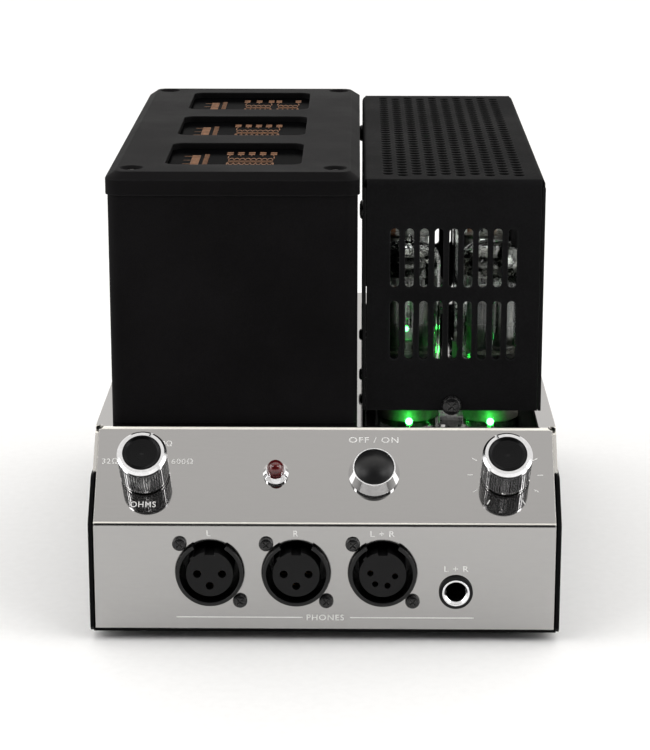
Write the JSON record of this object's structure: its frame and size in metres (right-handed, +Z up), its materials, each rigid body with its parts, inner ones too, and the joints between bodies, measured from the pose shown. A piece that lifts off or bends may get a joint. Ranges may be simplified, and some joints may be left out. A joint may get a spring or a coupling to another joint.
{
  "type": "headphone tube amplifier",
  "caption": "Compact headphone tube amplifier: polished steel chassis with a sloping control panel, black transformer box and vented tube cage, knobs, button, sockets.",
  "frame": {"origin": "bottom centre of the whole object, on the surface it stands on", "axes": "+Z up, controls face -Y, +X to the right as seen from the front"},
  "size_m": [0.1556, 0.2312, 0.1519],
  "materials": {
    "black_powder": "semi-matt black powder coat",
    "black_box": "fine matt black",
    "polished_steel": "mirror-polished steel",
    "zinc_steel": "zinc plated",
    "black_screw": "black oxide",
    "rubber": "matt",
    "window_black": "gloss",
    "core_steel": "laminated",
    "copper_coil": "varnished copper",
    "tube_glass": "clear",
    "electrode": "matt nickel",
    "ceramic": "ceramic",
    "board": "solder mask",
    "green_light": "lit green",
    "capacitor": "sleeved can",
    "black_anodised": "anodised",
    "socket_black": "satin black",
    "insert_black": "matt",
    "gold": "gold plated",
    "chrome": "polished",
    "red_jewel": "translucent red",
    "button_black": "satin black",
    "knob_metal": "turned and knurled",
    "disc_black": "spun black",
    "switch_body": "moulded",
    "control_can": "can"
  },
  "bodies": {
    "amplifier": {"base_tray": "black_powder", "chassis_shell": "polished_steel", "rear_panel": "black_powder", "feet": "rubber", "foot_screws": "zinc_steel", "case_screws": "black_screw", "transformer_box": "black_box", "transformer_cap": "black_box", "cap_screws": "black_screw", "window_plates": "window_black", "output_transformer_left": "core_steel", "output_transformer_right": "core_steel", "power_transformer": "core_steel", "transformer_coils": "copper_coil", "transformer_straps": "zinc_steel", "tube_cage": "black_powder", "cage_brackets": "zinc_steel", "cage_screws": "black_screw", "cage_side_screws": "black_screw", "driver_tube_left": "tube_glass", "driver_tube_right": "tube_glass", "output_tube_left": "tube_glass", "output_tube_right": "tube_glass", "tube_electrodes": "electrode", "tube_sockets": "ceramic", "tube_board": "board", "socket_lights": "green_light", "main_board": "board", "board_standoffs": "zinc_steel", "capacitors": "capacitor", "heat_sink": "black_anodised", "headphone_socket_left": "socket_black", "headphone_socket_right": "socket_black", "headphone_socket_stereo": "socket_black", "input_socket_left": "socket_black", "input_socket_right": "socket_black", "socket_inserts": "insert_black", "socket_contacts": "gold", "socket_screws": "black_screw", "headphone_jack": "chrome", "jack_nut": "insert_black", "lamp_jewel": "red_jewel", "lamp_bezel": "chrome", "button_bezel": "chrome", "standby_switch": "switch_body", "load_switch": "control_can", "volume_control": "control_can", "control_nuts": "zinc_steel", "mains_inlet": "insert_black", "phono_sockets": "gold", "mode_switch": "chrome"},
    "load_dial": {"load_knob": "knob_metal", "load_knob_disc": "disc_black", "load_shaft": "control_can"},
    "volume_dial": {"volume_knob": "knob_metal", "volume_knob_disc": "disc_black", "volume_shaft": "control_can"},
    "button": {"standby_button": "button_black"},
    "lever": {"mode_lever": "chrome"},
    "drawer": {"fuse_drawer": "insert_black"}
  },
  "joints": [
    {"name": "load_turn", "type": "hinge", "parent": "amplifier", "child": "load_dial", "pos_m": [-0.0598, -0.09977, 0.05392], "axis": [0, -0.7071, 0.7071], "range_deg": [-45, 90]},
    {"name": "volume_turn", "type": "hinge", "parent": "amplifier", "child": "volume_dial", "pos_m": [0.0598, -0.09977, 0.05392], "axis": [0, -0.7071, 0.7071], "range_deg": [-178, 122]},
    {"name": "button_press", "type": "slide", "parent": "amplifier", "child": "button", "axis": [0, -0.7071, 0.7071], "range_m": [-0.002, 0], "stiffness_N_per_m": 400, "springref_m": 0.001},
    {"name": "mode_flip", "type": "hinge", "parent": "amplifier", "child": "lever", "pos_m": [-0.01257, 0.10701, 0.0302], "axis": [1, 0, 0], "range_deg": [0, 24]},
    {"name": "fuse_drawer_slide", "type": "slide", "parent": "amplifier", "child": "drawer", "axis": [0, 1, 0], "range_m": [0, 0.014]}
  ]
}
